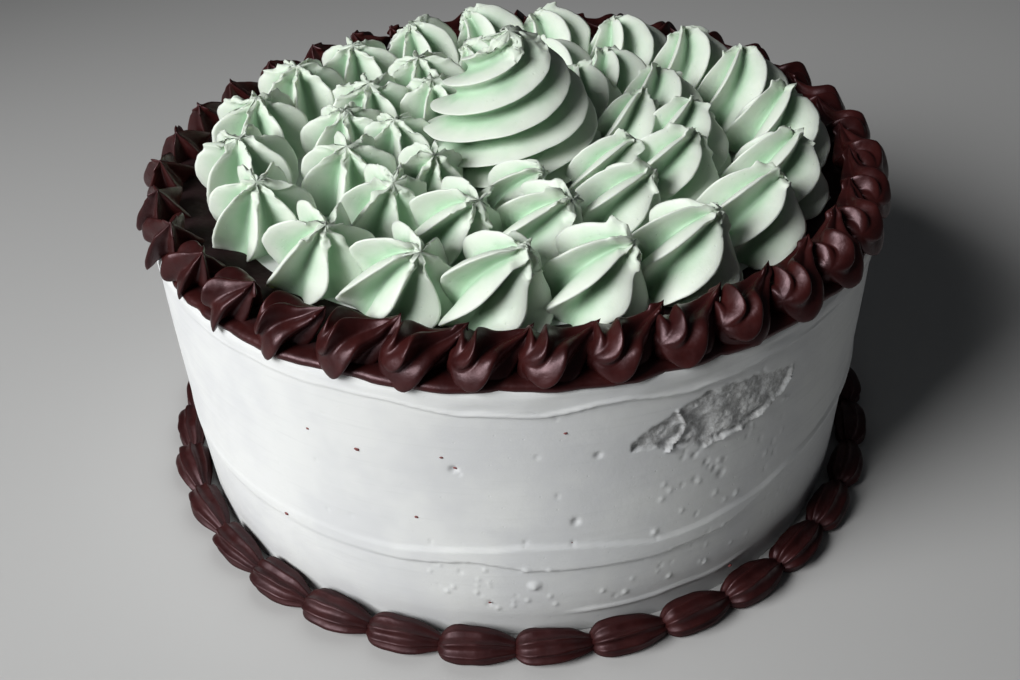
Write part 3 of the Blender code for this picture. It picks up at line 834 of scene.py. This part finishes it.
def mint_dollop(own, dollops, look, number):
    """Star dollop with sharp blades, hollow faces between them and a torn tip."""
    neighbours = []
    for other in dollops:
        apart = np.linalg.norm(other.site - own.site)
        if other is not own and apart < MINT_NEIGHBOUR_REACH * own.size:
            neighbours.append((other.site, 0.5))
    if own.ring == "inner":
        distance = np.linalg.norm(own.site)
        neighbours.append(((0.0, 0.0), (distance - SWIRL_LINE + MINT_PRESS) / distance))
    cell = Cell(own.site, neighbours, edge_line(own.azimuth))
    draws = np.random.default_rng(MINT_FIRST_DRAW + number)
    points, ridge = MINT_STAR.surface(own.axis, own.size, own.start, own.turn, draws, own.drag)
    points = cell.press(points)
    level = MINT_STAR.levels[:, None]
    crest_wave = waves(points, MINT_WAVES)
    out = points - own.axis.place(level)
    out = out / np.maximum(np.linalg.norm(out, axis=-1), 1e-6)[..., None]
    points = points + out * (crest_wave * ridge ** 2)[..., None]
    points, torn = torn_points(points, level, MINT_TORN_FROM)
    points[..., 2] = np.maximum(points[..., 2], MINT_FLOOR)
    made = Surface()
    base = (*own.axis.base, MINT_FLOOR)
    tip = own.axis.place(1.0)
    made.add_rows(points, {"ridge": ridge, "torn": torn}, base, tip)
    return made.piece(f"piped_{own.node}", look, [own.node])


def centre_swirl(look):
    """Tall swirl: wide ridges that climb anticlockwise to a torn tip."""
    across = (np.arange(SWIRL_SAMPLES) / SWIRL_SAMPLES) * 2.0 - 1.0
    phase = np.tile(0.5 * np.sign(across) * np.abs(across) ** 1.3, SWIRL_RIDGES)
    number = np.repeat(np.arange(SWIRL_RIDGES), SWIRL_SAMPLES)
    level = np.linspace(0.0, 1.0, SWIRL_LEVELS, endpoint=False)[:, None]
    ridge = (ridge_share(phase, SWIRL_ROUNDNESS) ** np.where(phase < 0.0, *SWIRL_FLANKS))[None, :]
    turn = TAU * SWIRL_TURNS * level ** 0.9
    groove = mix(SWIRL_GROOVE, SWIRL_GROOVE_TOP, smoothstep(0.72, 1.0, level))
    reach = SWIRL_RADIUS * profile(SWIRL_PROFILE, level) * (1.0 - groove * (1.0 - ridge))
    angle = TAU * (number + phase) / SWIRL_RIDGES + turn - SWIRL_OVERHANG * ridge
    z = MINT_FLOOR + SWIRL_HEIGHT * level - SWIRL_DROOP * ridge * smoothstep(0.05, 0.25, level)
    points = polar(reach, angle, z)
    out = polar(1.0, angle, 0.0)
    points = points + out * (waves(points, SWIRL_WAVES) * (0.3 + 0.7 * ridge))[..., None]
    points, torn = torn_points(points, level, SWIRL_TORN_FROM)
    points[..., 2] = np.maximum(points[..., 2], MINT_FLOOR)
    made = Surface()
    ridge = np.broadcast_to(ridge, reach.shape)
    tip = (0.0, 0.0, CAKE_HEIGHT + SWIRL_HEIGHT)
    made.add_rows(points, {"ridge": ridge, "torn": torn}, (0.0, 0.0, MINT_FLOOR), tip)
    return made.piece("piped_centre_swirl", look, ["centre_swirl"])


def table_at(table, degrees):
    return np.interp(degrees, [place for place, _ in table], [value for _, value in table])


def distance_to_line(degrees, height, corners):
    """Distance in millimetres along the wall to a line through (azimuth, height) corners."""
    best = np.full(np.broadcast(degrees, height).shape, 1e9)
    for (a0, z0), (a1, z1) in zip(corners, corners[1:]):
        x, y = (degrees - a0) * PER_DEGREE, height - z0
        dx, dy = (a1 - a0) * PER_DEGREE, z1 - z0
        share = np.clip((x * dx + y * dy) / (dx * dx + dy * dy), 0.0, 1.0)
        best = np.minimum(best, np.hypot(x - share * dx, y - share * dy))
    return best


def torn_patch(degrees, height):
    """Share of the torn patch, its relief and the curled edges, in millimetres."""
    upper = table_at(TORN_UPPER, degrees)
    lower = table_at(TORN_LOWER, degrees)
    place = np.stack((degrees * TORN_PER_DEGREE, height, np.zeros_like(height)), axis=-1)
    edge = NOISES[0](place, 4.0) * 1.1 + NOISES[2](place, 1.6) * 0.6
    inside = smoothstep(-0.4, 0.6, height - lower + edge) * smoothstep(-0.5, 0.9, upper - height + edge)
    inside = inside * ((degrees > TORN_UPPER[0][0]) & (degrees < TORN_UPPER[-1][0]))
    streaks = NOISES[2](place * np.array((0.35, 1.0, 1.0)) - 0.30 * height[..., None], 1.5)
    large, small, streaky = TORN_CRAGS
    crags = NOISES[0](place, 2.4) * large + NOISES[1](place, 0.9) * small + streaks * streaky
    ragged = 1.0 + 0.9 * NOISES[1](place, 3.5)
    depth = mix(*TORN_DEPTH, smoothstep(-68.0, -56.0, degrees)) * np.clip(ragged, 0.2, 1.6)
    lines = (TORN_LOWER[2:6], TORN_CURL)
    rim, curl = (np.exp(-(distance_to_line(degrees, height, line) / width) ** 2)
                 for line, width in zip(lines, TORN_LINE_WIDTH))
    return inside, inside * (crags - depth) + (0.55 + 0.45 * ragged) * rim + TORN_CURL_RELIEF * curl


def wall_relief(degrees, height):
    """How far the frosting stands out of the plain cylinder, in millimetres, and where it is torn."""
    azimuth = np.radians(degrees)
    circle = polar(CAKE_RADIUS / MM, azimuth, height)
    flat = circle * np.array((1.0, 1.0, 24.0))
    relief = WALL_OVAL * np.sin(2.0 * azimuth + 0.7) + NOISES[0].wave(circle, WALL_WAVE)
    relief = relief + NOISES[2].wave(flat, WALL_FLAT_WAVE)
    front = smoothstep(-118.0, -100.0, degrees) * (1.0 - smoothstep(-20.0, 20.0, degrees))
    edge_noise = NOISES[1](circle * np.array((1.0, 1.0, 0.0)), 9.0)
    lip = height - table_at(LIP_EDGE, degrees) - edge_noise * 0.5
    lip_strength = 0.45 + 0.55 * front
    lip_form = LIP_STEP * smoothstep(-0.2, 0.25, lip) + LIP_BEAD * np.exp(-((lip - 0.35) / 0.4) ** 2)
    relief = relief + lip_strength * lip_form
    smear = NOISES[2](circle * np.array((1.0, 1.0, 4.0)), 11.0)
    relief = relief + smoothstep(0.5, 1.5, lip) * smear * LIP_SMEAR
    band_strength = 0.25 + 0.75 * front
    foot = height - table_at(LEDGE_FOOT, degrees) - edge_noise * 0.35
    top = height - table_at(LEDGE_TOP, degrees) + edge_noise * 0.35
    band = smoothstep(-0.35, 0.35, foot) * (1.0 - smoothstep(-0.6, 0.6, top))
    below = 1.0 - smoothstep(-0.35, 0.35, foot)
    relief = relief + band_strength * (LEDGE_STEP * band - LEDGE_SINK * below)
    bead_span = smoothstep(-86.0, -80.0, degrees) * (1.0 - smoothstep(-58.0, -50.0, degrees))
    bead = height - FOOT_BEAD_HEIGHT - edge_noise * 0.5
    relief = relief + bead_span * FOOT_BEAD_RELIEF * np.exp(-(bead / 0.6) ** 2)
    torn, patch = torn_patch(degrees, height)
    relief = relief + patch + wall_spots(degrees, height)
    return relief, torn


def wall_spots(degrees, height):
    """Pits and bubbles, in millimetres: the ones that stand out and a scatter of small ones."""
    draws = random.Random(SPOT_SEED)
    spots = list(WALL_PITS)
    for count, azimuths, levels, radii, depths in SPOT_SCATTERS:
        for _ in range(count):
            place = [draws.uniform(*span) for span in (azimuths, levels, radii)]
            depth = draws.choice(depths) if depths else draws.uniform(*SPOT_ANY_DEPTH)
            spots.append((*place, depth))
    relief = np.zeros(np.broadcast(degrees, height).shape)
    for azimuth, level, radius, depth in spots:
        beside = (degrees - azimuth) * PER_DEGREE
        above = height - level
        near = (np.abs(above) < 3.0 * radius) & (np.abs(beside) < 3.0 * radius)
        across = np.hypot(beside[near], above[near]) / radius
        relief[near] -= depth * (np.exp(-across ** 2) - 0.12 * np.exp(-((across - 1.3) / 0.35) ** 2))
    return relief


def frosted_body(look):
    """White body: wall with the marks of the spatula, rounded rim, flat top and underside."""
    unwrapped = np.concatenate((np.arange(*FRONT_AZIMUTHS), np.arange(*OTHER_AZIMUTHS)))
    degrees = wrap_degrees(unwrapped)
    coarse = np.arange(0.0, FINE_FROM, COARSE_STEP)
    heights = np.concatenate((coarse, np.linspace(FINE_FROM, RIM_FROM, FINE_ROWS)))
    across, up = np.meshgrid(degrees, heights)
    relief, torn = wall_relief(across, up)
    foot = np.clip(1.0 - up / table_at(LEDGE_FOOT, across), 0.0, 1.0)
    radius = CAKE_RADIUS + relief * MM - foot * FOOT_LEAN
    radius = radius - smoothstep(RIM_FROM - 1.0, RIM_FROM + 0.6, up) * RIM_DRAWN_IN
    azimuth = np.radians(across)
    wall = polar(radius, azimuth, up * MM)
    rim_rows = []
    for share in RIM_SHARES:
        bend = min(share, 1.0) * math.pi / 2.0
        inward = (1.0 - math.cos(bend)) * RIM_ROUNDING + max(share - 1.0, 0.0) * MM
        lift = math.sin(bend) * (CAKE_HEIGHT - RIM_FROM * MM)
        rim_rows.append(polar(radius[-1] - inward, azimuth[-1], RIM_FROM * MM + lift))
    rows = np.concatenate((wall, np.array(rim_rows)))
    torn = np.concatenate((torn, np.zeros((len(rim_rows), len(degrees)))))
    around = np.broadcast_to(np.radians(unwrapped) * CAKE_RADIUS, torn.shape)
    made = Surface()
    made.add_rows(rows, {"torn": torn, "around": around}, (0.0, 0.0, 0.0), (0.0, 0.0, CAKE_HEIGHT))
    return made.piece("frosted_body", look, ["cake"])


def top_shell_azimuths():
    """Azimuths in degrees: the front shells are closer together than the others."""
    front = [FRONT_SHELL_FIRST + FRONT_SHELL_PITCH * number for number in range(FRONT_SHELLS)]
    span = 360.0 - (front[-1] - front[0])
    pitch = span / (OTHER_SHELLS + 1)
    return front + [front[-1] + pitch * (number + 1) for number in range(OTHER_SHELLS)]


def add_top_shell(made, degrees, draws, number):
    """Small piped shell: a leaning star at the left, elsewhere a head of nested hooks with a tail."""
    azimuth = math.radians(degrees)
    drag, turn = piping_shares(degrees)
    out, along = out_and_along(azimuth)
    pull = along - out * TOP_SHELL_PULL_INWARD * drag
    length = mix(*TOP_SHELL_LENGTH, drag) + TOP_SHELL_TAIL_EXTRA * drag * turn
    length = length * draws.uniform(0.94, 1.05)
    tipped = draws.uniform(-4.0, 4.0)
    rises = [math.radians(mix(*rise, drag) + tipped) for rise in (TOP_SHELL_RISE_START, TOP_SHELL_RISE_END)]
    twist = math.radians(mix(*TOP_SHELL_TWIST, drag))
    size = mix(*TOP_SHELL_SIZE, drag) * draws.uniform(0.95, 1.04)
    start = draws.uniform(0.0, TAU)
    distance = TOP_SHELL_RADIUS + TOP_SHELL_SIDE_EXTRA * math.cos(azimuth) ** 2
    middle = (*(distance * out), CAKE_HEIGHT + mix(*TOP_SHELL_LIFT, drag))
    axis = ShellAxis(middle, pull, rises, length)
    fine = np.random.default_rng(TOP_SHELL_FIRST_DRAW + number)
    points, _ = SHELL_STAR.surface(axis, size, start, -twist, fine, drag)
    radius = outward(points)
    line = edge_line(np.arctan2(points[..., 1], points[..., 0])) - TOP_SHELL_CLEAR
    kept = np.maximum(radius, line) / radius
    points[..., :2] *= kept[..., None]
    sag = np.maximum(radius - BAND_OUTER, 0.0) * TOP_SHELL_SAG
    points[..., 2] = np.maximum(points[..., 2], CAKE_HEIGHT + TOP_SHELL_FLOOR) - sag
    points = points + jitter(points, TOP_SHELL_WAVE)
    made.add_rows(points, {"dull_and_painted_shade": 0.0}, points[0].mean(axis=0), axis.place(1.03))


def add_band(made):
    """Thin band under the shells: a glossy, rippled outer edge that laps over the rim, dull and darkened
    with painted shade inside.
    """
    azimuth = np.arange(BAND_STATIONS) * TAU / BAND_STATIONS
    circle = polar(CAKE_RADIUS / MM, azimuth, 0.0)
    ripple = 0.45 * np.sin(17.0 * azimuth) + 0.7 * NOISES[0](circle, 7.0) + 0.3 * NOISES[1](circle, 3.0)
    inner = edge_line(azimuth) - BAND_INWARD
    outer = BAND_OUTER + BAND_LAP + ripple * MM
    sections = []
    for share, up in BAND_SECTION:
        radius = mix(inner, outer, share)
        uneven = 1.0 + 0.12 * NOISES[2](circle + share * 9.0, 8.0)
        height = CAKE_HEIGHT - BAND_SINK + (BAND_HEIGHT + BAND_SINK) * up * uneven
        sections.append(polar(radius, azimuth, height))
    sections = np.stack(sections, axis=1)
    inside = 1.0 - smoothstep(*(BAND_OUTER - inset for inset in BAND_DULL_AND_PAINTED_SHADE), outward(sections))
    made.add_ring(sections, {"dull_and_painted_shade": inside})


def top_border(look):
    made = Surface()
    add_band(made)
    draws = random.Random(TOP_SHELL_SEED)
    for number, degrees in enumerate(top_shell_azimuths()):
        add_top_shell(made, degrees, draws, number)
    return made.piece("piped_top_border", look, ["top_border"])


def add_foot_shell(made, number, size):
    """Shell that lies along the foot: round head, lengthwise ridges and a narrow tail."""
    fine = np.random.default_rng(FOOT_FIRST_DRAW + number)
    along = mix(FOOT_SWELL[0][0], FOOT_SWELL[-1][0], np.linspace(0.0, 1.0, FOOT_ROWS) ** 1.1)
    swell = profile(FOOT_SWELL, along)[:, None] * size
    columns = FOOT_RIDGES * FOOT_SAMPLES
    around = np.arange(columns) / columns
    phase = (around * FOOT_RIDGES) % 1.0
    depth = np.repeat(fine.uniform(*FOOT_GROOVE, FOOT_RIDGES), FOOT_SAMPLES)
    groove = depth * np.abs(np.sin(math.pi * phase)) ** 0.8
    shape = (1.0 - groove[None, :]) * np.ones_like(swell)
    angle = TAU * around[None, :] + fine.uniform(0.0, 0.6) + FOOT_TWIST * along[:, None]
    half_width = FOOT_WIDTH * 0.5 * mix(0.10, 1.0, swell)
    half_height = FOOT_HEIGHT * 0.53 * mix(0.05, 1.0, swell)
    radius = FOOT_INNER + FOOT_WIDTH * 0.48 + half_width * shape * np.cos(angle)
    radius = radius - (1.0 - swell) * 0.8 * MM
    height = FOOT_HEIGHT * 0.44 * mix(0.5, 1.0, swell) + half_height * shape * np.sin(angle)
    centre = math.radians(FOOT_FIRST) + TAU / FOOT_SHELLS * number
    azimuth = centre + TAU / FOOT_SHELLS * along[:, None] * np.ones_like(radius)
    points = polar(radius, azimuth, height)
    points = points + jitter(points, FOOT_WAVE)
    distance = outward(points)
    points[..., :2] *= (np.maximum(distance, FOOT_INNER - FOOT_SUNK) / distance)[..., None]
    points[..., 2] = np.maximum(points[..., 2], 0.0)
    ends = (points[-1].mean(axis=0), points[0].mean(axis=0))
    made.add_rows(points[::-1], {"dull_and_painted_shade": FOOT_DULL_AND_PAINTED_SHADE}, *ends)


def bottom_border(look):
    made = Surface()
    draws = random.Random(FOOT_SEED)
    for number in range(FOOT_SHELLS):
        add_foot_shell(made, number, draws.uniform(0.95, 1.05))
    return made.piece("piped_bottom_border", look, ["bottom_border"])


def crumbs(look):
    """Tiny dark crumbs half sunk in the wall."""
    made = Surface()
    around = np.arange(CRUMB_CORNERS) * TAU / CRUMB_CORNERS
    for number, (degrees, height, size) in enumerate(CRUMBS):
        fine = np.random.default_rng(CRUMB_FIRST_DRAW + number)
        relief = wall_relief(np.array([[degrees]]), np.array([[height]]))[0][0, 0]
        out, side = (np.append(way, 0.0) for way in out_and_along(math.radians(degrees)))
        centre = out * (CAKE_RADIUS + relief * MM) + np.array((0.0, 0.0, height * MM))
        thick = out * size * MM * CRUMB_THICKNESS
        rows = []
        for bend in CRUMB_BENDS:
            ring = size * MM * math.cos(bend) * fine.uniform(0.75, 1.2, len(around))
            flat = side * 1.25 * (ring * np.cos(around))[:, None]
            high = np.array((0.0, 0.0, 0.8)) * (ring * np.sin(around))[:, None]
            rows.append(centre + thick * math.sin(bend) + flat + high)
        made.add_rows(np.array(rows), {}, centre - thick, centre + thick)
    return made.piece("crumbs_in_frosting", look, [])


def make_camera():
    camera = bpy.data.cameras.new("camera")
    camera.lens = CAMERA_LENS
    camera.sensor_width = CAMERA_SENSOR
    camera.clip_start = 0.01
    made = add_object("camera", camera)
    back = Vector((0.0, -math.cos(CAMERA_ELEVATION), math.sin(CAMERA_ELEVATION)))
    right = Vector((1.0, 0.0, 0.0))
    up = back.cross(right)
    cos, sin = math.cos(CAMERA_ROLL), math.sin(CAMERA_ROLL)
    turned_right = right * cos + up * sin
    turned_up = up * cos - right * sin
    turn = Matrix((turned_right, turned_up, back)).transposed()
    made.matrix_world = Matrix.Translation(CAMERA_PLACE) @ turn.to_4x4()
    bpy.context.scene.camera = made


def make_light():
    light = bpy.data.lights.new("window", "AREA")
    light.shape = "SQUARE"
    light.size = LIGHT_SIZE
    light.spread = math.radians(LIGHT_SPREAD)
    light.energy = LIGHT_WATTS
    made = add_object("window", light)
    a, e = math.radians(LIGHT_AZIMUTH), math.radians(LIGHT_ELEVATION)
    away = Vector((math.cos(a) * math.cos(e), math.sin(a) * math.cos(e), math.sin(e)))
    made.location = LIGHT_TARGET + away * LIGHT_DISTANCE
    made.rotation_euler = away.to_track_quat("Z", "Y").to_euler()


def make_studio():
    world = bpy.data.worlds.new("studio")
    world.use_nodes = True
    set_inputs(world.node_tree.nodes["Background"], Color=SKY_COLOUR, Strength=SKY_STRENGTH)
    bpy.context.scene.world = world
    bpy.context.scene.view_settings.view_transform = "Standard"
    make_light()
    floor = Shading("studio floor")
    floor.fixed(Roughness=0.7, Base_Color=(*linear(*FLOOR_COLOUR), 1.0))
    mesh = bpy.data.meshes.new("studio_floor")
    corners = [(FLOOR_HALF * x, FLOOR_HALF * y, 0.0) for x, y in ((-1, -1), (1, -1), (1, 1), (-1, 1))]
    mesh.from_pydata(corners, [], [(0, 1, 2, 3)])
    mesh.materials.append(floor.material)
    made = add_object("studio_floor", mesh)


def build():
    make_camera()
    make_studio()
    mint = mint_look()
    chocolate = chocolate_look()
    frosted_body(frosting_look())
    centre_swirl(mint)
    dollops = mint_dollops()
    for number, dollop in enumerate(dollops):
        mint_dollop(dollop, dollops, mint, number)
    top_border(chocolate)
    bottom_border(chocolate)
    crumbs(crumb_look())


build()
